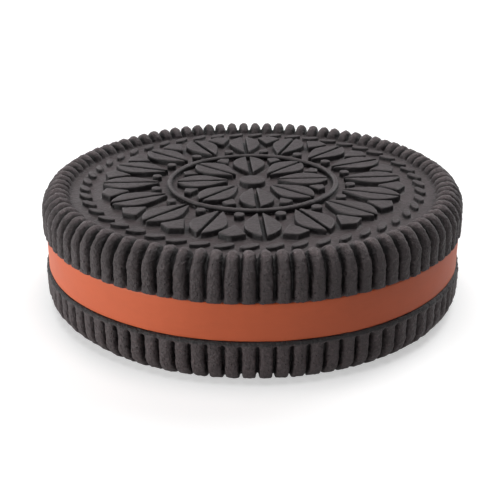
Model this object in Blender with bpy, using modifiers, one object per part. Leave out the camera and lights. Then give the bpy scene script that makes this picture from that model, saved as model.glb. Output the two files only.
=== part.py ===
"""Chocolate sandwich cookie: two ribbed, embossed wafers with a cream filling.

Units are metres, +Z is up. The cookie lies flat, and its origin is the middle
of the plane that the lower wafer's ribs rest on.
"""
import math

import bmesh
import bpy

# The whole cookie
COOKIE_RADIUS = 0.0225
WAFER_HEIGHT = 0.0045
FILLING_SPACE = 0.00385         # clear height between the two wafers
TOUCH_GAP = 0.0003              # between the filling and each wafer

# The ribbed rim of a wafer
RIB_COUNT = 88
RIB_COLUMNS = 3                 # two edges of the crest and one valley
CREST_SHARE = 0.66              # part of a rib's pitch that its crest takes
SIDE_VALLEY_DEPTH = 0.00065
SHOULDER_RADIUS = 0.0024
SHOULDER_CUT = 0.00015          # how far the crests stop short of the top of the arc
SHOULDER_VALLEY_DEPTH = 0.0009
SHOULDER_ANGLE = math.radians(45)
CREST_FLAT_OUTER = 0.0209       # the level strip on top of each crest
CREST_FLAT_INNER = 0.0205
RIB_NOSE_RADIUS = 0.0197        # where the ribs come down to the field
EDGE_ROUNDING = 0.00045         # at the face that meets the filling
VALLEY_LIP = 0.0006             # height of the lip that closes the valleys

# The embossed field inside the rim
FIELD_DEPTH = 0.0011            # below the crests
PLATE_HEIGHT = 0.0006           # above the field
PLATE_ROOT = 0.0003             # sunk into the field
MIDRIB_GROOVE = 0.0004
PATTERN_TURN = math.radians(5)

OUTER_LEAVES = {"count": 16, "root": 0.0099, "tip": 0.0161, "half_width": 0.0018}
INNER_PETALS = {"count": 8, "root": 0.0026, "tip": 0.0082, "half_width": 0.0018}
BELLY_STEPS = (0.35, 0.78)      # where the belly's points lie, from root to tip
BELLY_LEAN = 1.3                # above 1 moves the widest part towards the tip
DARTS = {"count": 16, "inner": 0.0134, "widest": 0.0156, "outer": 0.0163, "half_width": 0.00135}
BOSS_RADIUS = 0.0014
BOSS_SIDES = 8

# The filling
CREAM_RADIUS = 0.0222
CREAM_ROUNDING = 0.0003
CREAM_SEGMENTS = 60

MERGE_DISTANCE = 0.000001
FULL_TURN = 2 * math.pi


def clear_scene():
    for item in list(bpy.data.objects):
        bpy.data.objects.remove(item, do_unlink=True)


def new_collection(name):
    collection = bpy.data.collections.new(name)
    bpy.context.scene.collection.children.link(collection)
    return collection


def new_material(name, color, roughness):
    material = bpy.data.materials.new(name)
    material.use_nodes = True
    shader = material.node_tree.nodes["Principled BSDF"]
    shader.inputs["Base Color"].default_value = (*color, 1.0)
    shader.inputs["Roughness"].default_value = roughness
    shader.inputs["Metallic"].default_value = 0.0
    return material


def link_guide(name, data, guides):
    """An object that only shapes others: wire display, never rendered."""
    guide = bpy.data.objects.new(name, data)
    guide.hide_render = True
    guide.display_type = "WIRE"
    guides.objects.link(guide)
    return guide


def evaluated_mesh(guide):
    """The guide's mesh with its modifiers, welded and facing outwards."""
    depsgraph = bpy.context.evaluated_depsgraph_get()
    mesh = bpy.data.meshes.new_from_object(guide.evaluated_get(depsgraph))
    bm = bmesh.new()
    bm.from_mesh(mesh)
    bmesh.ops.remove_doubles(bm, verts=bm.verts, dist=MERGE_DISTANCE)
    bmesh.ops.recalc_face_normals(bm, faces=bm.faces)
    bm.to_mesh(mesh)
    bm.free()
    return mesh


def turned_guide(name, profile, steps, guides):
    """A profile of (radius, height) points, turned about Z by a Screw."""
    mesh = bpy.data.meshes.new(name)
    points = [(radius, 0.0, height) for radius, height in profile]
    edges = [(index, index + 1) for index in range(len(points) - 1)]
    mesh.from_pydata(points, edges, [])
    guide = link_guide(name, mesh, guides)
    screw = guide.modifiers.new("turn", "SCREW")
    screw.steps = steps
    screw.render_steps = steps
    screw.use_merge_vertices = True
    screw.merge_threshold = MERGE_DISTANCE
    return guide


def rim_profiles():
    """The crest line and the valley line, ring by ring, top to bottom."""
    field_level = WAFER_HEIGHT - FIELD_DEPTH
    side_top = WAFER_HEIGHT + SHOULDER_CUT - SHOULDER_RADIUS
    arc_centre = COOKIE_RADIUS - SHOULDER_RADIUS
    valley_radius = COOKIE_RADIUS - SIDE_VALLEY_DEPTH
    across = math.cos(SHOULDER_ANGLE)
    up = math.sin(SHOULDER_ANGLE)
    valley_arc = SHOULDER_RADIUS - SHOULDER_VALLEY_DEPTH
    face_edge = (COOKIE_RADIUS - EDGE_ROUNDING, 0.0)
    nose_foot = (RIB_NOSE_RADIUS, field_level)

    crest = [
        nose_foot,
        (CREST_FLAT_INNER, WAFER_HEIGHT),
        (CREST_FLAT_OUTER, WAFER_HEIGHT),
        (arc_centre + SHOULDER_RADIUS * across, side_top + SHOULDER_RADIUS * up),
        (COOKIE_RADIUS, side_top),
        (COOKIE_RADIUS, EDGE_ROUNDING),
        face_edge,
    ]
    valley = [
        nose_foot,
        (CREST_FLAT_INNER, field_level),
        (CREST_FLAT_OUTER, field_level),
        (arc_centre + valley_arc * across, side_top + valley_arc * up),
        (valley_radius, side_top),
        (valley_radius, VALLEY_LIP),
        face_edge,
    ]
    return crest, valley


def ring_of(vert, profile):
    """The number of the profile point that the vertex was turned from."""
    place = (math.hypot(vert.co.x, vert.co.y), vert.co.z)
    return min(range(len(profile)), key=lambda ring: math.dist(place, profile[ring]))


def shape_ribs(mesh, crest, valley):
    """Turn the plain rim into ribs: every third column becomes a valley."""
    pitch = FULL_TURN / RIB_COUNT
    column_step = pitch / RIB_COLUMNS
    bm = bmesh.new()
    bm.from_mesh(mesh)
    for vert in bm.verts:
        ring = ring_of(vert, crest)
        column = round(math.atan2(vert.co.y, vert.co.x) / column_step)
        rib, place = divmod(column, RIB_COLUMNS)
        if place == RIB_COLUMNS - 1:
            new_radius, new_height = valley[ring]
            angle = (rib + 0.5) * pitch
        else:
            new_radius, new_height = crest[ring]
            side = place - 0.5
            angle = (rib + side * CREST_SHARE) * pitch
        vert.co = (new_radius * math.cos(angle), new_radius * math.sin(angle), new_height)
    rim_edges = [edge for edge in bm.edges if edge.is_boundary]
    bmesh.ops.holes_fill(bm, edges=rim_edges, sides=0)
    bmesh.ops.recalc_face_normals(bm, faces=bm.faces)
    bm.to_mesh(mesh)
    bm.free()


def turned_point(radius, offset, angle):
    """The point at a radius and a sideways offset, turned about Z."""
    cosine = math.cos(angle)
    sine = math.sin(angle)
    return radius * cosine - offset * sine, radius * sine + offset * cosine


def half_leaf(leaf, side, angle):
    """One side of a leaf: a straight edge along the midrib and a curved belly."""
    groove = MIDRIB_GROOVE / 2
    length = leaf["tip"] - leaf["root"]
    outline = [turned_point(leaf["root"], side * groove, angle)]
    for step in BELLY_STEPS:
        swell = groove + (leaf["half_width"] - groove) * math.sin(math.pi * step ** BELLY_LEAN)
        outline.append(turned_point(leaf["root"] + length * step, side * swell, angle))
    outline.append(turned_point(leaf["tip"], side * groove, angle))
    return outline


def dart(angle):
    """A kite that fills the space between two leaves."""
    return [
        turned_point(DARTS["inner"], 0.0, angle),
        turned_point(DARTS["widest"], -DARTS["half_width"], angle),
        turned_point(DARTS["outer"], 0.0, angle),
        turned_point(DARTS["widest"], DARTS["half_width"], angle),
    ]


def plate_outlines():
    outlines = []
    for leaf in (OUTER_LEAVES, INNER_PETALS):
        for number in range(leaf["count"]):
            angle = PATTERN_TURN + number * FULL_TURN / leaf["count"]
            for side in (-1, 1):
                outlines.append(half_leaf(leaf, side, angle))
    for number in range(DARTS["count"]):
        outlines.append(dart(PATTERN_TURN + (number + 0.5) * FULL_TURN / DARTS["count"]))
    boss_step = FULL_TURN / BOSS_SIDES
    outlines.append([turned_point(BOSS_RADIUS, 0.0, side * boss_step) for side in range(BOSS_SIDES)])
    return outlines


def plate_guide(guides):
    """All the embossed plates as one flat outline curve with a thickness."""
    thickness = PLATE_ROOT + PLATE_HEIGHT
    curve = bpy.data.curves.new("plate_outlines", "CURVE")
    curve.dimensions = "2D"
    curve.fill_mode = "BOTH"
    curve.extrude = thickness / 2
    for outline in plate_outlines():
        spline = curve.splines.new("POLY")
        spline.points.add(len(outline) - 1)
        for point, (x, y) in zip(spline.points, outline):
            point.co = (x, y, 0.0, 1.0)
        spline.use_cyclic_u = True
    outline_guide = link_guide("plate_outlines", curve, guides)
    outline_guide.location.z = WAFER_HEIGHT - FIELD_DEPTH - PLATE_ROOT + thickness / 2
    bpy.context.view_layer.update()
    plates = link_guide("plates", evaluated_mesh(outline_guide), guides)
    plates.matrix_world = outline_guide.matrix_world
    bpy.data.objects.remove(outline_guide, do_unlink=True)
    return plates


def wafer_mesh(guides):
    """One wafer, its plain face down at height 0 and its ribs and plates up."""
    crest, valley = rim_profiles()
    blank_guide = turned_guide("wafer_rim", crest, RIB_COUNT * RIB_COLUMNS, guides)
    blank_mesh = evaluated_mesh(blank_guide)
    shape_ribs(blank_mesh, crest, valley)
    blank = link_guide("wafer_blank", blank_mesh, guides)
    emboss = blank.modifiers.new("emboss", "BOOLEAN")
    emboss.operation = "UNION"
    emboss.solver = "EXACT"
    emboss.object = plate_guide(guides)
    mesh = evaluated_mesh(blank)
    mesh.name = "wafer"
    return mesh


def cream_mesh(guides):
    height = FILLING_SPACE - 2 * TOUCH_GAP
    flat_radius = CREAM_RADIUS - CREAM_ROUNDING
    profile = [
        (0.0, height),
        (flat_radius, height),
        (CREAM_RADIUS, height - CREAM_ROUNDING),
        (CREAM_RADIUS, CREAM_ROUNDING),
        (flat_radius, 0.0),
        (0.0, 0.0),
    ]
    return evaluated_mesh(turned_guide("cream_profile", profile, CREAM_SEGMENTS, guides))


def place_piece(name, mesh, material, height, turn, parts):
    piece = bpy.data.objects.new(name, mesh)
    piece.location.z = height
    piece.rotation_euler.x = turn
    if not mesh.materials:
        mesh.materials.append(material)
    parts.objects.link(piece)
    return piece


def build_cookie():
    clear_scene()
    parts = new_collection("chocolate_sandwich_cookie")
    guides = new_collection("guides")
    biscuit = new_material("cocoa_biscuit", (0.055, 0.046, 0.046), 0.8)
    cream = new_material("orange_cream", (0.52, 0.13, 0.062), 0.55)

    wafer = wafer_mesh(guides)
    wafer.set_sharp_from_angle(angle=math.radians(40))
    filling = cream_mesh(guides)
    filling.shade_smooth()
    filling.set_sharp_from_angle(angle=math.radians(50))

    # The lower wafer is the upper one turned over, so its plain face is up too.
    place_piece("wafer_bottom", wafer, biscuit, WAFER_HEIGHT, math.pi, parts)
    place_piece("cream", filling, cream, WAFER_HEIGHT + TOUCH_GAP, 0.0, parts)
    place_piece("wafer_top", wafer, biscuit, WAFER_HEIGHT + FILLING_SPACE, 0.0, parts)


build_cookie()
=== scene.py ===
import math
import random

import bmesh
import bpy
import numpy as np
from mathutils import Matrix, Vector


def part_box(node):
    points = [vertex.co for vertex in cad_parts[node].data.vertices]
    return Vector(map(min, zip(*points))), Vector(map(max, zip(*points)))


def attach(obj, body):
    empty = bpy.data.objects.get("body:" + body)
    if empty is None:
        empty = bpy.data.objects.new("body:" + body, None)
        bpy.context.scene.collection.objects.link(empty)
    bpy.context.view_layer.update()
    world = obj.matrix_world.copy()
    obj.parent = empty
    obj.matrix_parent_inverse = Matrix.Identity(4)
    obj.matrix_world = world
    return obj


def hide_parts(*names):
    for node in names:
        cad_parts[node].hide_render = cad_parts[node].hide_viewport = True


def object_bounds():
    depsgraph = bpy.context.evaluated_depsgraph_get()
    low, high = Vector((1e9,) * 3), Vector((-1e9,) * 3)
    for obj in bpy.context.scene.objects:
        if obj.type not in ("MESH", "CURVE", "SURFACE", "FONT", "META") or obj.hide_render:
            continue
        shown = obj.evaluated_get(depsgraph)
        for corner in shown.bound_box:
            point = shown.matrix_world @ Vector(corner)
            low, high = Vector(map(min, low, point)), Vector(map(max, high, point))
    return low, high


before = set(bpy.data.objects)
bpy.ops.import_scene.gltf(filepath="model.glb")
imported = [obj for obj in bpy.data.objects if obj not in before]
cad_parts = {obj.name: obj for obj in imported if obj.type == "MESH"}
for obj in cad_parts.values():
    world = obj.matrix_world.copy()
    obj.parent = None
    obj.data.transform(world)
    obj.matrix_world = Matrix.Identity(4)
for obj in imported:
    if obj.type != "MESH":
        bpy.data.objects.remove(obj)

# Chocolate sandwich cookie: two ribbed, embossed cocoa wafers and a thick orange cream.
# Everything is in metres. Each wafer is modelled plain face down, then put in its place.

mm = 0.001
weld = 0.0005 * mm
fullTurn = 2 * math.pi

cadLow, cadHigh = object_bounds()
topLow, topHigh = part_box("wafer_top")
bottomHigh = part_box("wafer_bottom")[1]
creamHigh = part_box("cream")[1]
print("frame loaded, cookie box", tuple(round(v / mm, 2) for v in cadHigh - cadLow), "mm")


def linkObject(name, bm):
    mesh = bpy.data.meshes.new(name)
    bmesh.ops.recalc_face_normals(bm, faces=bm.faces)
    bm.to_mesh(mesh)
    bm.free()
    thing = bpy.data.objects.new(name, mesh)
    bpy.context.scene.collection.objects.link(thing)
    return thing


def applyModifiers(thing):
    depsgraph = bpy.context.evaluated_depsgraph_get()
    finished = bpy.data.meshes.new_from_object(thing.evaluated_get(depsgraph))
    rough = thing.data
    thing.modifiers.clear()
    thing.data = finished
    bpy.data.meshes.remove(rough)


def turned(radius, offset, angle):
    # a point at this radius, pushed sideways, then turned about Z
    return Vector((radius * math.cos(angle) - offset * math.sin(angle),
                   radius * math.sin(angle) + offset * math.cos(angle), 0.0))


wafer = {
    "radius": (topHigh.x - topLow.x) / 2,
    "height": topHigh.z - topLow.z,
    "ribs": 88,
    "columnsPerRib": 20,
    "shoulder": 2.4 * mm,
    "shoulderCut": 0.145 * mm,
    "shoulderSweep": math.radians(70),
    "sideValley": 0.9 * mm,
    "sideBlend": 0.7,                      # how early the side's rib width comes in, below 1 early
    "shoulderBlend": 1.5,                  # the same for the valley's depth over the shoulder
    "crown": 0.1,                          # how far a rib's sides lie lower than its middle, of its height
    # depths and levels for the hollow mark: painted shade in the valleys, grooves and on the relief's walls,
    # painted light on the relief's tops and open floor
    "hollow": (0.26 * mm, 0.66 * mm),      # depth in the side's valleys, from shown to full
    "noseHollow": (0.1 * mm, 0.34 * mm),   # the same between the noses
    "groove": (0.28 * mm, 0.5 * mm),       # depth beside the relief, from shown to full
    "wall": (0.85, 0.2),                   # upward part of the normal on the relief's walls
    "fieldTones": (-0.15, -0.45),          # the relief's tops, and the open floor
    "openFloor": 1 / 3,                    # of the relief's height, all below is open floor
    "faceLevel": 0.05 * mm,                # below it the plain face has no hollows
    "grooveCell": 0.15 * mm,
    "grooveReach": 3,
    "noseLength": 1.35 * mm,
    "noseTip": 0.45,                       # a nose's width at its inner end, of its full width
    "noseTaper": 0.25,
    "noseFall": 0.9,
    "fieldDepth": 1.1 * mm,
    "faceInset": 0.5 * mm,                 # how far the rim's section reaches into the plain face
    "footInset": 0.3 * mm,                 # and into the field
    "edgeSteps": 5,
    "sideSteps": 16,
    "shoulderSteps": 16,
    "noseSteps": 14,
    "valleySteps": 7,                      # nose steps in which the valley reaches the field
    "crownSteps": 4,                       # steps before the noses where the crown ends
    "voxel": 0.085 * mm,
    "triangles": 190000,
    "softening": 0.5,
    # from rib to rib: lift and reach in mm, lean in pitches, width as a share
    "uneven": {"lift": (-0.045, 0.03), "reach": (-0.08, 0.08), "lean": (-0.015, 0.015),
               "width": (0.97, 1.03)},
    # name, coarseness and strength in mm, vertex group
    "roughness": (("swell", 6.0, 0.14, "dough"), ("lumps", 1.1, 0.07, "crust"),
                  ("crumb", 0.33, 0.14, "crust")),
    "smoothFace": (0.12 * mm, 1.2 * mm),   # level and inset within which the plain face stays flat
    "crustStart": 19 * mm,                 # radius from which the ribs' full roughness comes in
    "crustFade": 0.8 * mm,
    "fieldCrust": 0.3,                     # the field's share of that roughness
}

# A lip closes the valleys at the plain face. Shares are the parts of the pitch that a rib takes at
# the face, the side, the shoulder and the nose. A higher squareness is flatter across the rib.
upper = {"seed": 11, "edgeRound": 0.16 * mm, "lip": -0.05 * mm, "lipRamp": 0.3 * mm,
         "lipValley": 0.3 * mm, "sideSquareness": 5.0, "noseSquareness": 2.3,
         "noseValley": 0.78 * mm, "shares": (0.90, 0.86, 0.80, 0.87)}
lower = {"seed": 23, "edgeRound": 0.36 * mm, "lip": 0.42 * mm, "lipRamp": 0.14 * mm,
         "lipValley": 0.06 * mm, "sideSquareness": 5.0, "noseSquareness": 14.0,
         "noseValley": 1.1 * mm, "shares": (0.93, 0.87, 0.87, 0.95)}

relief = {
    "height": 0.72 * mm,
    "root": 0.35 * mm,
    "topRound": 0.1 * mm,
    "roundSteps": 3,
    "groove": 0.42 * mm,
    "turn": math.radians(5),
    "leaves": {"count": 16, "root": 9.9 * mm, "tip": 16.1 * mm, "halfWidth": 1.8 * mm},
    "petals": {"count": 8, "root": 2.6 * mm, "tip": 8.2 * mm, "halfWidth": 1.8 * mm},
    "bellySteps": 9,
    "bellyLean": 1.3,         # above 1 the belly lies nearer the tip
    "bellyFullness": 0.8,
    "darts": {"count": 16, "inner": 13.4 * mm, "widest": 15.6 * mm, "outer": 16.3 * mm,
              "halfWidth": 1.35 * mm},
    "smallDarts": {"count": 8, "inner": 6.3 * mm, "widest": 7.6 * mm, "outer": 8.1 * mm,
                   "halfWidth": 0.8 * mm},
    "dots": {"count": 16, "radius": 10.5 * mm, "size": 0.55 * mm},
    "dotSteps": 12,
    "ring": {"radius": 8.95 * mm, "width": 0.6 * mm, "sides": 10, "steps": 160},
    "boss": 1.4 * mm,
    "bossSteps": 24,
    "rope": {"count": 48, "radius": 17.9 * mm, "halfLength": 1.05 * mm, "halfWidth": 0.42 * mm,
             "tilt": math.radians(28), "drop": 0.25 * mm},
}


def rimStations(kind):
    # from the plain face out, up and in to the field: crest line, valley line,
    # the share of the pitch that a rib takes and how square it is
    radius, height, bend = wafer["radius"], wafer["height"], wafer["shoulder"]
    edge, side, lipValley = kind["edgeRound"], wafer["sideValley"], kind["lipValley"]
    atFace, atSide, atShoulder, atNose = kind["shares"]
    square, rounded = kind["sideSquareness"], kind["noseSquareness"]
    field = height - wafer["fieldDepth"]
    sideTop = height + wafer["shoulderCut"] - bend
    edgeSteps, sideSteps = wafer["edgeSteps"], wafer["sideSteps"]
    shoulderSteps, noseSteps = wafer["shoulderSteps"], wafer["noseSteps"]
    crest = [(radius - edge - wafer["faceInset"], 0.0)]
    valley = list(crest)
    section = [(atFace, square)]
    for k in range(edgeSteps + 1):                      # rounding at the plain face
        a = math.radians(90) * k / edgeSteps
        r, z = radius - edge + edge * math.sin(a), edge - edge * math.cos(a)
        crest.append((r, z))
        valley.append((r - lipValley, z))
        section.append((atFace, square))
    for k in range(1, sideSteps + 1):                   # upright side
        z = edge + (sideTop - edge) * k / sideSteps
        ramp = min(max((z - kind["lip"]) / kind["lipRamp"], 0.0), 1.0)
        ramp = ramp * ramp * (3 - 2 * ramp)
        crest.append((radius, z))
        valley.append((radius - lipValley - (side - lipValley) * ramp, z))
        section.append((atFace + (atSide - atFace) * (k / sideSteps) ** wafer["sideBlend"], square))
    half = shoulderSteps / 2                            # where a rib takes its shoulder share
    for k in range(1, shoulderSteps + 1):               # shoulder
        a = wafer["shoulderSweep"] * k / shoulderSteps
        deepened = (k / shoulderSteps) ** wafer["shoulderBlend"]
        depth = side + (kind["noseValley"] + wafer["shoulderCut"] - side) * deepened
        crest.append((radius - bend + bend * math.cos(a), sideTop + bend * math.sin(a)))
        valley.append((radius - bend + (bend - depth) * math.cos(a), sideTop + (bend - depth) * math.sin(a)))
        share = atShoulder + ((atSide if k < half else atNose) - atShoulder) * abs(1 - k / half)
        section.append((share, square + (rounded - square) * min(k / half, 1)))
    startR = crest[-1][0]
    floorR, floorZ = valley[-1]
    foot = startR - wafer["noseLength"]
    for k in range(1, noseSteps + 1):                   # nose, down to the field
        a = math.radians(90) * k / noseSteps
        rounding = math.cos(a) if k < noseSteps else 0.0
        crest.append((startR - wafer["noseLength"] * math.sin(a),
                      field + (height - field) * rounding ** wafer["noseFall"]))
        valley.append((floorR + (foot - floorR) * k / noseSteps,
                       floorZ + (field - floorZ) * min(k / wafer["valleySteps"], 1)))
        taper = wafer["noseTip"] + (1 - wafer["noseTip"]) * rounding ** wafer["noseTaper"]
        section.append((atNose * taper, rounded))
    crest.append((foot - wafer["footInset"], field))
    valley.append(crest[-1])
    section.append(section[-1])
    return crest, valley, section


def ribWedge(crest):
    # the rim's section, spun over one rib's pitch
    pitch = fullTurn / wafer["ribs"]
    bm = bmesh.new()
    station = bm.verts.layers.int.new("station")
    line = []
    for number, (r, z) in enumerate(crest):
        vert = bm.verts.new((r, 0.0, z))
        vert[station] = number
        line.append(vert)
    for a, b in zip(line, line[1:]):
        bm.edges.new((a, b))
    bmesh.ops.rotate(bm, verts=bm.verts[:], cent=(0, 0, 0), matrix=Matrix.Rotation(-pitch / 2, 3, "Z"))
    bmesh.ops.spin(bm, geom=bm.verts[:] + bm.edges[:], cent=(0, 0, 0), axis=(0, 0, 1),
                   angle=pitch, steps=wafer["columnsPerRib"], use_merge=False, use_duplicate=False)
    return bm


def waferBody(kind):
    dice = random.Random(kind["seed"])
    ribs = wafer["ribs"]
    pitch = fullTurn / ribs
    crest, valley, section = rimStations(kind)
    noseStart = len(crest) - 2 - wafer["noseSteps"]
    crownEnd = noseStart - wafer["crownSteps"]
    uneven = wafer["uneven"]
    wedge = ribWedge(crest)
    station = wedge.verts.layers.int["station"]
    plain = [(vert, vert[station], math.atan2(vert.co.y, vert.co.x)) for vert in wedge.verts]
    mesh = bpy.data.meshes.new("rib")
    bm = bmesh.new()
    for rib in range(ribs):
        lift = dice.uniform(*uneven["lift"]) * mm
        reach = dice.uniform(*uneven["reach"]) * mm
        lean = dice.uniform(*uneven["lean"]) * pitch
        width = dice.uniform(*uneven["width"])
        for vert, number, angle in plain:
            share, squareness = section[number]
            across = min(abs(2 * angle / pitch) / (share * width), 1.0)
            crown = wafer["crown"] if number < crownEnd else 0
            rise = (1 - across ** squareness) ** 0.5 * (1 - crown * across ** 2)
            (crestR, crestZ), (valleyR, valleyZ) = crest[number], valley[number]
            if number >= noseStart:
                crestR += reach
            inner = 0 < number < len(crest) - 1
            r = valleyR + (crestR - valleyR + lift) * rise if inner else crestR
            turn = rib * pitch + angle + lean * rise
            vert.co = (r * math.cos(turn), r * math.sin(turn), valleyZ + (crestZ - valleyZ) * rise)
        wedge.to_mesh(mesh)
        bm.from_mesh(mesh)
    wedge.free()
    bpy.data.meshes.remove(mesh)
    bmesh.ops.remove_doubles(bm, verts=bm.verts[:], dist=weld)
    bmesh.ops.holes_fill(bm, edges=[edge for edge in bm.edges if edge.is_boundary], sides=0)
    return bm


def plateMesh(outline, top):
    # a closed plate on the field: flat outline, pulled up, its top edge rounded
    bottom = top - relief["height"] - relief["root"]
    bm = bmesh.new()
    base = bm.faces.new([bm.verts.new((p.x, p.y, bottom)) for p in outline])
    pulled = bmesh.ops.extrude_face_region(bm, geom=[base], use_keep_orig=True)["geom"]
    raised = [g for g in pulled if isinstance(g, bmesh.types.BMVert)]
    lid = [g for g in pulled if isinstance(g, bmesh.types.BMFace)]
    bmesh.ops.translate(bm, verts=raised, vec=(0, 0, top - bottom))
    rim = {edge for face in lid for edge in face.edges}
    bmesh.ops.bevel(bm, geom=list(rim), offset=relief["topRound"], offset_type="OFFSET",
                    segments=relief["roundSteps"], profile=0.5, affect="EDGES", clamp_overlap=True,
                    material=-1)
    bmesh.ops.recalc_face_normals(bm, faces=bm.faces)
    mesh = bpy.data.meshes.new("plate")
    bm.to_mesh(mesh)
    bm.free()
    return mesh


def ringOf(bm, plates, count, phase):
    # copies of one motif, its plates drawn on +X, all round the field
    for mesh in plates:
        for number in range(count):
            mesh.transform(Matrix.Rotation(phase + fullTurn * number / count, 4, "Z"))
            bm.from_mesh(mesh)
            mesh.transform(Matrix.Rotation(-phase - fullTurn * number / count, 4, "Z"))
        bpy.data.meshes.remove(mesh)


def halfLeaf(leaf, side):
    groove = relief["groove"] / 2
    length = leaf["tip"] - leaf["root"]
    outline = [Vector((leaf["root"], side * groove, 0))]
    for k in range(1, relief["bellySteps"] + 1):
        step = k / (relief["bellySteps"] + 1)
        belly = math.sin(math.pi * step ** relief["bellyLean"]) ** relief["bellyFullness"]
        swell = groove + (leaf["halfWidth"] - groove) * belly
        outline.append(Vector((leaf["root"] + length * step, side * swell, 0)))
    outline.append(Vector((leaf["tip"], side * groove, 0)))
    return outline


def kite(dart):
    return [Vector((dart["inner"], 0, 0)), Vector((dart["widest"], -dart["halfWidth"], 0)),
            Vector((dart["outer"], 0, 0)), Vector((dart["widest"], dart["halfWidth"], 0))]


def oval(centre, halfLength, halfWidth, turn, steps):
    return [Vector((centre, 0, 0)) + turned(halfLength * math.cos(fullTurn * k / steps),
                                            halfWidth * math.sin(fullTurn * k / steps), turn)
            for k in range(steps)]


def addRelief(bm):
    top = wafer["height"] - wafer["fieldDepth"] + relief["height"]
    turn = relief["turn"]
    for leaf in (relief["leaves"], relief["petals"]):
        ringOf(bm, [plateMesh(halfLeaf(leaf, side), top) for side in (-1, 1)], leaf["count"], turn)
    for dart in (relief["darts"], relief["smallDarts"]):
        ringOf(bm, [plateMesh(kite(dart), top)], dart["count"], turn + math.pi / dart["count"])
    dots = relief["dots"]
    ringOf(bm, [plateMesh(oval(dots["radius"], dots["size"], dots["size"], 0, relief["dotSteps"]), top)],
           dots["count"], turn + math.pi / dots["count"])
    boss = oval(0, relief["boss"], relief["boss"], 0, relief["bossSteps"])
    ringOf(bm, [plateMesh(boss, top)], 1, 0)
    rope = relief["rope"]
    grain = oval(rope["radius"], rope["halfLength"], rope["halfWidth"],
                 math.radians(90) + rope["tilt"], relief["dotSteps"])
    ringOf(bm, [plateMesh(grain, top - rope["drop"])], rope["count"], 0)
    ring = relief["ring"]
    hoop = bmesh.new()
    upright = Matrix.Rotation(math.radians(90), 4, "X")
    place = Matrix.Translation((ring["radius"], 0, top - ring["width"] / 2)) @ upright
    section = bmesh.ops.create_circle(hoop, cap_ends=False, segments=ring["sides"],
                                      radius=ring["width"] / 2, matrix=place)["verts"]
    bmesh.ops.spin(hoop, geom=section + hoop.edges[:], cent=(0, 0, 0), axis=(0, 0, 1),
                   angle=fullTurn, steps=ring["steps"], use_merge=True, use_duplicate=False)
    bmesh.ops.recalc_face_normals(hoop, faces=hoop.faces)
    mesh = bpy.data.meshes.new("ring")
    hoop.to_mesh(mesh)
    hoop.free()
    bm.from_mesh(mesh)
    bpy.data.meshes.remove(mesh)


def addRoughness(thing, label, coarseness, strength, places):
    clouds = bpy.data.textures.new(thing.name + label, "CLOUDS")
    clouds.noise_scale = coarseness * mm
    clouds.noise_depth = 1
    push = thing.modifiers.new(label, "DISPLACE")
    push.texture = clouds
    push.texture_coords = "LOCAL"
    push.direction = "NORMAL"
    push.mid_level = 0.5
    push.strength = strength * mm
    push.vertex_group = places


def markPlaces(thing):
    # the plain face stays flat, the field is smoother than the ribs
    dough = thing.vertex_groups.new(name="dough")
    crust = thing.vertex_groups.new(name="crust")
    byDough, byCrust = {}, {}
    level, inset = wafer["smoothFace"]
    fieldCrust = wafer["fieldCrust"]
    for vert in thing.data.vertices:
        away = math.hypot(vert.co.x, vert.co.y)
        shown = 1.0 if vert.co.z > level or away > wafer["radius"] - inset else 0.0
        onRibs = min(max((away - wafer["crustStart"]) / wafer["crustFade"], 0.0), 1.0)
        byDough.setdefault(shown, []).append(vert.index)
        byCrust.setdefault(shown * round(fieldCrust + (1 - fieldCrust) * onRibs, 1), []).append(vert.index)
    for weight, members in byDough.items():
        dough.add(members, weight, "REPLACE")
    for weight, members in byCrust.items():
        crust.add(members, weight, "REPLACE")


def meshPlaces(thing):
    # the vertices' places, one row each
    places = np.empty(len(thing.data.vertices) * 3)
    thing.data.vertices.foreach_get("co", places)
    return places.reshape(-1, 3)


def cellsOf(places):
    # each place's cell in a square grid over the wafer, and the grid's size
    count = int(2 * wafer["radius"] / wafer["grooveCell"]) + 2
    cells = ((places[:, :2] + wafer["radius"]) / wafer["grooveCell"]).astype(int)
    return np.clip(cells, 0, count - 1), count


def softHeights(thing):
    # the height of the pressed face on a fine grid, spread over its neighbours
    places = meshPlaces(thing)
    cells, count = cellsOf(places)
    heights = np.full((count, count), wafer["height"] - wafer["fieldDepth"])
    np.maximum.at(heights, (cells[:, 0], cells[:, 1]), places[:, 2])
    reach = wafer["grooveReach"]
    for axis in (0, 1):
        heights = sum(np.roll(heights, k, axis) for k in range(-reach, reach + 1)) / (2 * reach + 1)
    return heights


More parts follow.
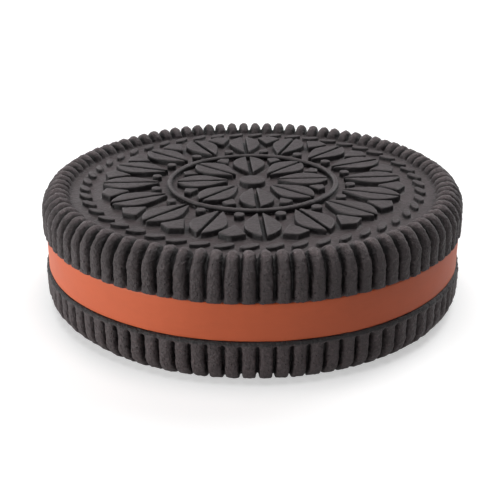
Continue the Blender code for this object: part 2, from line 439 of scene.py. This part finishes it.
def markHollows(thing, kind, heights):
    # the biscuit's painted shade and painted light: 0 on the ribs, 1 deep in the valleys, in the grooves
    # and on the relief's walls, where shade is painted, below 0 on the relief's tops and on the field's open
    # floor, where light is painted
    places = meshPlaces(thing)
    spots = np.column_stack((np.hypot(places[:, 0], places[:, 1]), places[:, 2]))
    crest = np.array(rimStations(kind)[0])
    depth = np.full(len(spots), 1.0)
    for start, end in zip(crest, crest[1:]):
        step = end - start
        along = np.clip((spots - start) @ step / (step @ step), 0, 1)
        depth = np.minimum(depth, np.linalg.norm(spots - start - along[:, None] * step, axis=1))
    inward = np.clip((wafer["radius"] - spots[:, 0]) / wafer["shoulder"], 0, 1)
    shown, full = [side + (nose - side) * inward for side, nose in zip(wafer["hollow"], wafer["noseHollow"])]
    rim = np.clip((depth - shown) / (full - shown), 0, 1)
    cells = cellsOf(places)[0]
    shown, full = wafer["groove"]
    groove = np.clip((heights[cells[:, 0], cells[:, 1]] - places[:, 2] - shown) / (full - shown), 0, 1)
    normals = np.empty(len(places) * 3)
    thing.data.vertex_normals.foreach_get("vector", normals)
    shown, full = wafer["wall"]
    wall = np.clip((normals[2::3] - shown) / (full - shown), 0, 1)
    openTop = wafer["height"] - wafer["fieldDepth"] + relief["height"] * wafer["openFloor"]
    pressed = spots[:, 1] < openTop
    tones = np.where(pressed, wafer["fieldTones"][1], wafer["fieldTones"][0])
    field = np.maximum(groove, wall) * (1 - tones) + tones
    hollow = np.where(spots[:, 0] < crest[-1][0], field, rim)
    hollow[spots[:, 1] < wafer["faceLevel"]] = 0
    mark = thing.data.attributes.new("hollow", "FLOAT", "POINT")
    mark.data.foreach_set("value", hollow)


def makeWafer(name, kind):
    bm = waferBody(kind)
    addRelief(bm)
    thing = linkObject(name, bm)
    remesh = thing.modifiers.new("dough", "REMESH")
    remesh.mode = "VOXEL"
    remesh.voxel_size = wafer["voxel"]
    remesh.use_smooth_shade = True
    smooth = thing.modifiers.new("soften", "SMOOTH")
    smooth.factor = wafer["softening"]
    smooth.iterations = 1
    applyModifiers(thing)
    markPlaces(thing)
    for label, coarseness, strength, places in wafer["roughness"]:
        addRoughness(thing, label, coarseness, strength, places)
    applyModifiers(thing)
    heights = softHeights(thing)
    thin = thing.modifiers.new("thin", "DECIMATE")
    thin.ratio = min(1.0, wafer["triangles"] / (2 * len(thing.data.polygons)))
    applyModifiers(thing)
    thing.vertex_groups.clear()
    markHollows(thing, kind, heights)
    thing.data.shade_smooth()
    print(name, "finished,", len(thing.data.polygons), "faces")
    return thing


cream = {
    "radius": creamHigh.x,
    "low": bottomHigh.z - 0.03 * mm,       # reaches a little into both wafers
    "high": topLow.z + 0.03 * mm,
    "round": 0.22 * mm,
    "roundSteps": 5,
    "wallSteps": 8,
    "flat": 0.7,                           # of the radius, the middle without rings
    "columns": 360,
    "waves": (("sway", 9.0, 0.12), ("smear", 1.6, 0.03)),     # name, size and strength in mm
}


def makeCream(name):
    radius, low, high, edge = cream["radius"], cream["low"], cream["high"], cream["round"]
    bm = bmesh.new()
    roundSteps, wallSteps = cream["roundSteps"], cream["wallSteps"]
    points = [(0.0, high), (radius * cream["flat"], high)]
    for k in range(roundSteps + 1):
        a = math.radians(90) * k / roundSteps
        points.append((radius - edge + edge * math.sin(a), high - edge + edge * math.cos(a)))
    for k in range(1, wallSteps):
        points.append((radius, high - edge - (high - low - 2 * edge) * k / wallSteps))
    for k in range(roundSteps + 1):
        a = math.radians(90) * k / roundSteps
        points.append((radius - edge + edge * math.cos(a), low + edge - edge * math.sin(a)))
    points += [(radius * cream["flat"], low), (0.0, low)]
    line = [bm.verts.new((r, 0.0, z)) for r, z in points]
    for a, b in zip(line, line[1:]):
        bm.edges.new((a, b))
    bmesh.ops.spin(bm, geom=bm.verts[:] + bm.edges[:], cent=(0, 0, 0), axis=(0, 0, 1),
                   angle=fullTurn, steps=cream["columns"], use_merge=True, use_duplicate=False)
    bmesh.ops.remove_doubles(bm, verts=bm.verts[:], dist=weld)
    thing = linkObject(name, bm)
    for label, size, strength in cream["waves"]:
        clouds = bpy.data.textures.new(name + label, "CLOUDS")
        clouds.noise_scale = size * mm
        push = thing.modifiers.new(label, "DISPLACE")
        push.texture = clouds
        push.texture_coords = "LOCAL"
        push.direction = "NORMAL"
        push.strength = strength * mm
    applyModifiers(thing)
    thing.data.shade_smooth()
    print(name, "finished,", len(thing.data.polygons), "faces")
    return thing


def shaderGroup(name, inputs, outputs):
    # an empty node group with these sockets, and its two end nodes
    group = bpy.data.node_groups.new(name, "ShaderNodeTree")
    for side, sockets in (("INPUT", inputs), ("OUTPUT", outputs)):
        for label, kind in sockets:
            group.interface.new_socket(label, in_out=side, socket_type="NodeSocket" + kind)
    return group, group.nodes.new("NodeGroupInput"), group.nodes.new("NodeGroupOutput")


def addNode(tree, kind, links=None, **settings):
    # links is a dict of socket name or number: value, or the output that feeds it
    node = tree.nodes.new(kind)
    for label, value in settings.items():
        setattr(node, label, value)
    for socket, value in (links or {}).items():
        if isinstance(value, bpy.types.NodeSocket):
            tree.links.new(value, node.inputs[socket])
        else:
            node.inputs[socket].default_value = value
    return node


grainLook = {
    "slowDetail": 3.0,
    "fineDetail": 2.0,
    "roughness": 0.65,
    "pitCore": 0.02,
    "specks": (0.56, 0.68),   # grain heights where a speck starts and is full
}


def makeMottle():
    # slow and fine changes of tone between two colours
    group, start, end = shaderGroup(
        "mottle", [("Vector", "Vector"), ("Scale", "Float"), ("Fine Scale", "Float"),
                   ("Fine Share", "Float"), ("Contrast", "Float"), ("Dark", "Color"),
                   ("Light", "Color")], [("Color", "Color"), ("Tone", "Float")])
    slow = addNode(group, "ShaderNodeTexNoise", {"Vector": start.outputs["Vector"],
                                                 "Scale": start.outputs["Scale"],
                                                 "Detail": grainLook["slowDetail"]})
    fine = addNode(group, "ShaderNodeTexNoise", {"Vector": start.outputs["Vector"],
                                                 "Scale": start.outputs["Fine Scale"],
                                                 "Detail": grainLook["fineDetail"]})
    blend = addNode(group, "ShaderNodeMix", {0: start.outputs["Fine Share"], 2: slow.outputs["Fac"],
                                             3: fine.outputs["Fac"]}, data_type="FLOAT")
    centred = addNode(group, "ShaderNodeMath", {0: blend.outputs[0], 1: 0.5}, operation="SUBTRACT")
    spread = addNode(group, "ShaderNodeMath", {0: centred.outputs[0], 1: start.outputs["Contrast"],
                                               2: 0.5}, operation="MULTIPLY_ADD", use_clamp=True)
    colour = addNode(group, "ShaderNodeMix", {0: spread.outputs[0], 6: start.outputs["Dark"],
                                              7: start.outputs["Light"]}, data_type="RGBA")
    group.links.new(colour.outputs[2], end.inputs["Color"])
    group.links.new(spread.outputs[0], end.inputs["Tone"])
    return group


def makeCrumb():
    # the grain of a baked or stiff surface: a height for the bump, and pits and specks as masks
    group, start, end = shaderGroup(
        "crumb", [("Vector", "Vector"), ("Grain Scale", "Float"), ("Pit Scale", "Float"),
                  ("Pit Size", "Float"), ("Pit Depth", "Float")],
        [("Height", "Float"), ("Pits", "Float"), ("Specks", "Float")])
    grain = addNode(group, "ShaderNodeTexNoise", {"Vector": start.outputs["Vector"],
                                                  "Scale": start.outputs["Grain Scale"],
                                                  "Detail": grainLook["slowDetail"],
                                                  "Roughness": grainLook["roughness"]})
    cells = addNode(group, "ShaderNodeTexVoronoi", {"Vector": start.outputs["Vector"],
                                                    "Scale": start.outputs["Pit Scale"]})
    pits = addNode(group, "ShaderNodeMapRange", {"Value": cells.outputs["Distance"],
                                                 "From Min": grainLook["pitCore"],
                                                 "From Max": start.outputs["Pit Size"],
                                                 "To Min": 1.0, "To Max": 0.0},
                   interpolation_type="SMOOTHSTEP")
    dug = addNode(group, "ShaderNodeMath", {0: pits.outputs[0], 1: start.outputs["Pit Depth"]},
                  operation="MULTIPLY")
    height = addNode(group, "ShaderNodeMath", {0: grain.outputs["Fac"], 1: dug.outputs[0]},
                     operation="SUBTRACT")
    specks = addNode(group, "ShaderNodeMapRange", {"Value": grain.outputs["Fac"],
                                                   "From Min": grainLook["specks"][0],
                                                   "From Max": grainLook["specks"][1]})
    group.links.new(height.outputs[0], end.inputs["Height"])
    group.links.new(pits.outputs[0], end.inputs["Pits"])
    group.links.new(specks.outputs[0], end.inputs["Specks"])
    return group


mottleGroup = makeMottle()
crumbGroup = makeCrumb()


def mottled(tree, place, look):
    return addNode(tree, "ShaderNodeGroup", {"Vector": place, "Dark": (*look["dark"], 1),
                                             "Light": (*look["light"], 1), **look["mottle"]},
                   node_tree=mottleGroup)


def crumbed(tree, place, look):
    return addNode(tree, "ShaderNodeGroup", {"Vector": place, **look["crumb"]}, node_tree=crumbGroup)


def simpleMaterial(name, colour, roughness):
    material = bpy.data.materials.new(name)
    material.use_nodes = True
    shader = material.node_tree.nodes["Principled BSDF"]
    shader.inputs["Base Color"].default_value = (*colour, 1)
    shader.inputs["Roughness"].default_value = roughness
    return material


biscuit = {
    "dark": (0.032, 0.0237, 0.0243),
    "light": (0.056, 0.0416, 0.0426),
    "mottle": {"Scale": 300.0, "Fine Scale": 2500.0, "Fine Share": 0.4, "Contrast": 2.2},
    "crumb": {"Grain Scale": 3600.0, "Pit Scale": 2600.0, "Pit Size": 0.25, "Pit Depth": 0.6},
    "pitDark": 0.35,
    "speckLight": 0.9,
    "roughness": (0.44, 0.66),
    "plainRoughness": 0.6,
    "specular": 0.45,
    "fieldBump": 0.35,
    "rimBump": 1.0,
    "bumpDistance": 0.22 * mm,
    "rimStart": 19.2 * mm,
    "rimEnd": 20.2 * mm,
    # painted shade in a band under the cream and in the hollows, painted light on the lower wafer, painted
    # highlight on the rim's tops
    "oiledHeight": 0.42 * mm,
    "oiledFade": 0.6,
    "oiledDark": 0.82,
    "hollowDark": 0.8,
    "lowerLight": 0.35,
    "wornLight": 0.9,
    "wornDepth": (0.6 * mm, 0.15 * mm),
}


def makeBiscuit():
    material = simpleMaterial("cocoaBiscuit", biscuit["light"], biscuit["plainRoughness"])
    tree = material.node_tree
    shader = tree.nodes["Principled BSDF"]
    shader.inputs["Specular IOR Level"].default_value = biscuit["specular"]
    place = addNode(tree, "ShaderNodeTexCoord").outputs["Object"]
    flat = addNode(tree, "ShaderNodeVectorMath", {0: place, 1: (1, 1, 0)}, operation="MULTIPLY")
    away = addNode(tree, "ShaderNodeVectorMath", {0: flat.outputs[0]}, operation="LENGTH")
    rim = addNode(tree, "ShaderNodeMapRange", {"Value": away.outputs["Value"],
                                               "From Min": biscuit["rimStart"],
                                               "From Max": biscuit["rimEnd"]})
    tone = mottled(tree, place, biscuit)
    crumb = crumbed(tree, place, biscuit)
    pitted = addNode(tree, "ShaderNodeMath", {0: crumb.outputs["Pits"], 1: rim.outputs[0]},
                     operation="MULTIPLY")
    shade = addNode(tree, "ShaderNodeMath", {0: pitted.outputs[0], 1: -biscuit["pitDark"], 2: 1.0},
                    operation="MULTIPLY_ADD")
    # lighter grains on the rim, partly the crumb's own tone and partly painted glints
    flecked = addNode(tree, "ShaderNodeMath", {0: crumb.outputs["Specks"], 1: rim.outputs[0]},
                      operation="MULTIPLY")
    gleam = addNode(tree, "ShaderNodeMath", {0: flecked.outputs[0], 1: biscuit["speckLight"],
                                             2: shade.outputs[0]}, operation="MULTIPLY_ADD")
    # painted shade on the lower wafer's upper edge, in a band just under the cream
    height = addNode(tree, "ShaderNodeSeparateXYZ", {0: place}).outputs["Z"]
    creamShadeBottom = bottomHigh.z - biscuit["oiledHeight"]
    creamShadeFull = bottomHigh.z - biscuit["oiledHeight"] * biscuit["oiledFade"]
    creamShadeRamp = addNode(tree, "ShaderNodeMapRange", {"Value": height, "From Min": creamShadeBottom,
                                                 "From Max": creamShadeFull})
    onUpperWafer = addNode(tree, "ShaderNodeMath", {0: height, 1: (bottomHigh.z + topLow.z) / 2},
                  operation="GREATER_THAN")
    creamShadeBand = addNode(tree, "ShaderNodeMath", {0: creamShadeRamp.outputs[0], 1: onUpperWafer.outputs[0]}, operation="SUBTRACT",
                   use_clamp=True)
    creamShadeFactor = addNode(tree, "ShaderNodeMath", {0: creamShadeBand.outputs[0], 1: -biscuit["oiledDark"], 2: 1.0},
                    operation="MULTIPLY_ADD")
    # painted shade in the valleys, the grooves and on the relief's walls, painted light on the relief's tops
    # and the open floor
    hollow = addNode(tree, "ShaderNodeAttribute", attribute_name="hollow").outputs["Fac"]
    dim = addNode(tree, "ShaderNodeMath", {0: hollow, 1: -biscuit["hollowDark"], 2: 1.0},
                  operation="MULTIPLY_ADD")
    # painted highlight: the highest parts of the upper rim are painted paler, where the light from above and
    # behind falls on them
    high = addNode(tree, "ShaderNodeMapRange", {"Value": height,
                                                "From Min": topHigh.z - biscuit["wornDepth"][0],
                                                "From Max": topHigh.z - biscuit["wornDepth"][1]})
    litTop = addNode(tree, "ShaderNodeMath", {0: high.outputs[0], 1: rim.outputs[0]}, operation="MULTIPLY")
    topHighlightFactor = addNode(tree, "ShaderNodeMath", {0: litTop.outputs[0], 1: biscuit["wornLight"], 2: 1.0},
                   operation="MULTIPLY_ADD")
    paintedShadeAndHighlight = addNode(tree, "ShaderNodeMath", {0: dim.outputs[0], 1: topHighlightFactor.outputs[0]}, operation="MULTIPLY")
    # painted light: the lower wafer is painted a little paler, as the lamps reach it less
    lowerPaintedLightFactor = addNode(tree, "ShaderNodeMath", {0: onUpperWafer.outputs[0], 1: -biscuit["lowerLight"],
                                             2: 1 + biscuit["lowerLight"]}, operation="MULTIPLY_ADD")
    lowerWaferShadeAndLight = addNode(tree, "ShaderNodeMath", {0: creamShadeFactor.outputs[0], 1: lowerPaintedLightFactor.outputs[0]},
                     operation="MULTIPLY")
    grained = addNode(tree, "ShaderNodeMath", {0: gleam.outputs[0], 1: lowerWaferShadeAndLight.outputs[0]},
                      operation="MULTIPLY")
    whole = addNode(tree, "ShaderNodeMath", {0: grained.outputs[0], 1: paintedShadeAndHighlight.outputs[0]},
                    operation="MULTIPLY")
    toned = addNode(tree, "ShaderNodeVectorMath", {0: tone.outputs["Color"], "Scale": whole.outputs[0]},
                    operation="SCALE")
    tree.links.new(toned.outputs[0], shader.inputs["Base Color"])
    rough = addNode(tree, "ShaderNodeMapRange", {"Value": tone.outputs["Tone"],
                                                 "To Min": biscuit["roughness"][1],
                                                 "To Max": biscuit["roughness"][0]})
    tree.links.new(rough.outputs[0], shader.inputs["Roughness"])
    strength = addNode(tree, "ShaderNodeMapRange", {"Value": rim.outputs[0], "To Min": biscuit["fieldBump"],
                                                    "To Max": biscuit["rimBump"]})
    bump = addNode(tree, "ShaderNodeBump", {"Strength": strength.outputs[0],
                                            "Distance": biscuit["bumpDistance"],
                                            "Height": crumb.outputs["Height"]})
    tree.links.new(bump.outputs[0], shader.inputs["Normal"])
    return material


filling = {
    "dark": (0.59, 0.119, 0.045),
    "light": (0.73, 0.148, 0.057),
    "roughness": (0.42, 0.55),
    "plainRoughness": 0.45,
    "specular": 0.3,
    "smear": (1, 1, 2.5),
    "mottle": {"Scale": 170.0, "Fine Scale": 900.0, "Fine Share": 0.3, "Contrast": 1.0},
    "crumb": {"Grain Scale": 1500.0, "Pit Scale": 900.0, "Pit Size": 0.08, "Pit Depth": 0.6},
    "bump": 0.35,
    "bumpDistance": 0.04 * mm,
}


def makeCreamMaterial():
    material = simpleMaterial("orangeCream", filling["light"], filling["plainRoughness"])
    tree = material.node_tree
    shader = tree.nodes["Principled BSDF"]
    shader.inputs["Specular IOR Level"].default_value = filling["specular"]
    place = addNode(tree, "ShaderNodeTexCoord").outputs["Object"]
    smeared = addNode(tree, "ShaderNodeMapping", {"Vector": place, "Scale": filling["smear"]}).outputs[0]
    tone = mottled(tree, smeared, filling)
    crumb = crumbed(tree, smeared, filling)
    tree.links.new(tone.outputs["Color"], shader.inputs["Base Color"])
    rough = addNode(tree, "ShaderNodeMapRange", {"Value": tone.outputs["Tone"],
                                                 "To Min": filling["roughness"][0],
                                                 "To Max": filling["roughness"][1]})
    tree.links.new(rough.outputs[0], shader.inputs["Roughness"])
    bump = addNode(tree, "ShaderNodeBump", {"Strength": filling["bump"], "Distance": filling["bumpDistance"],
                                            "Height": crumb.outputs["Height"]})
    tree.links.new(bump.outputs[0], shader.inputs["Normal"])
    return material


biscuitMaterial = makeBiscuit()
creamMaterial = makeCreamMaterial()
print("materials made")

waferTop = makeWafer("upperWafer", upper)
waferTop.data.transform(Matrix.Translation((0, 0, topLow.z)))
waferBottom = makeWafer("lowerWafer", lower)
waferBottom.data.transform(Matrix.Translation((0, 0, bottomHigh.z)) @ Matrix.Rotation(math.pi, 4, "X"))
creamLayer = makeCream("creamFilling")

for thing, node, slot, material in ((waferTop, "wafer_top", "biscuit", biscuitMaterial),
                                    (waferBottom, "wafer_bottom", "biscuit", biscuitMaterial),
                                    (creamLayer, "cream", "cream", creamMaterial)):
    thing.data.materials.clear()
    thing.data.materials.append(material)
    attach(thing, "root")
    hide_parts(node)
print("cookie put together")


studio = {
    "floorSize": 1.6,
    "floorColour": (0.7, 0.7, 0.7),
    "floorRoughness": 0.9,
    "walls": (0.9, 0.95, 1.0),
    "wallShine": 0.45,
    "floorLift": 0.5,         # the floor looks whiter than it lights the cookie
    "floorShine": 0.5,        # share of the lift that is mirrored in the surfaces
    "cameraDistance": 110.64 * mm,
    "cameraElevation": math.radians(23.06),
    "cameraTurn": math.radians(0.9),
    "targetDrop": 8.712 * mm,
    "lens": 71.57,
    "sensor": 36,
    "shiftX": -0.0053,
    "clipStart": 5 * mm,
    "lampDistance": 0.6,
    # name, azimuth, elevation, size, power
    "lamps": (("keyLight", -60, 6, 0.25, 1.8), ("sideLight", -90, 6, 0.25, 1.5),
              ("backLeftLight", -150, 20, 0.25, 0.45), ("backRightLight", 135, 20, 0.25, 0.5),
              ("highBackRightLight", 140, 50, 0.25, 0.95),
              ("highBackLeftLight", -150, 50, 0.25, 0.35), ("topLight", 0, 89.5, 0.35, 1.8)),
}


def direction(turn, rise):
    # turn 0 points to the camera's side, positive to the right
    a = turn - math.radians(90)
    return Vector((math.cos(a) * math.cos(rise), math.sin(a) * math.cos(rise), math.sin(rise)))


def makeFloor():
    bm = bmesh.new()
    bmesh.ops.create_grid(bm, x_segments=1, y_segments=1, size=studio["floorSize"] / 2)
    ground = linkObject("floor", bm)
    material = simpleMaterial("paleFloor", studio["floorColour"], studio["floorRoughness"])
    tree = material.node_tree
    shader = tree.nodes["Principled BSDF"]
    shader.inputs["Emission Color"].default_value = (1, 1, 1, 1)
    path = addNode(tree, "ShaderNodeLightPath")
    seen = addNode(tree, "ShaderNodeMath", {0: path.outputs["Is Glossy Ray"], 1: studio["floorShine"],
                                            2: path.outputs["Is Camera Ray"]}, operation="MULTIPLY_ADD")
    lifted = addNode(tree, "ShaderNodeMath", {0: seen.outputs[0], 1: studio["floorLift"]},
                     operation="MULTIPLY")
    tree.links.new(lifted.outputs[0], shader.inputs["Emission Strength"])
    ground.data.materials.append(material)
    return ground


floor = makeFloor()

world = bpy.data.worlds.new("studioWorld")
bpy.context.scene.world = world
world.use_nodes = True
world.node_tree.nodes["Background"].inputs["Color"].default_value = (*studio["walls"], 1)
world.node_tree.nodes["Background"].inputs["Strength"].default_value = studio["wallShine"]
# the pale walls are mirrored in the surfaces, the lamps alone light them
world.cycles_visibility.diffuse = False


def softLight(name, azimuth, elevation, size, power):
    light = bpy.data.lights.new(name, "AREA")
    light.shape = "DISK"
    light.size = size
    light.energy = power
    lamp = bpy.data.objects.new(name, light)
    bpy.context.scene.collection.objects.link(lamp)
    place = direction(math.radians(azimuth), math.radians(elevation)) * studio["lampDistance"]
    lamp.location = place
    lamp.rotation_euler = (-place).to_track_quat("-Z", "Y").to_euler()


for name, azimuth, elevation, size, power in studio["lamps"]:
    softLight(name, azimuth, elevation, size, power)

camera = bpy.data.cameras.new("camera")
camera.lens = studio["lens"]
camera.sensor_width = studio["sensor"]
camera.shift_x = studio["shiftX"]
camera.clip_start = studio["clipStart"]
eye = bpy.data.objects.new("camera", camera)
bpy.context.scene.collection.objects.link(eye)
target = Vector((0, 0, cadHigh.z - studio["targetDrop"]))
toEye = direction(studio["cameraTurn"], studio["cameraElevation"])
eye.location = target + toEye * studio["cameraDistance"]
eye.rotation_euler = (-toEye).to_track_quat("-Z", "Y").to_euler()
bpy.context.scene.camera = eye
bpy.context.scene.view_settings.view_transform = "Standard"

print("studio lit, camera set")
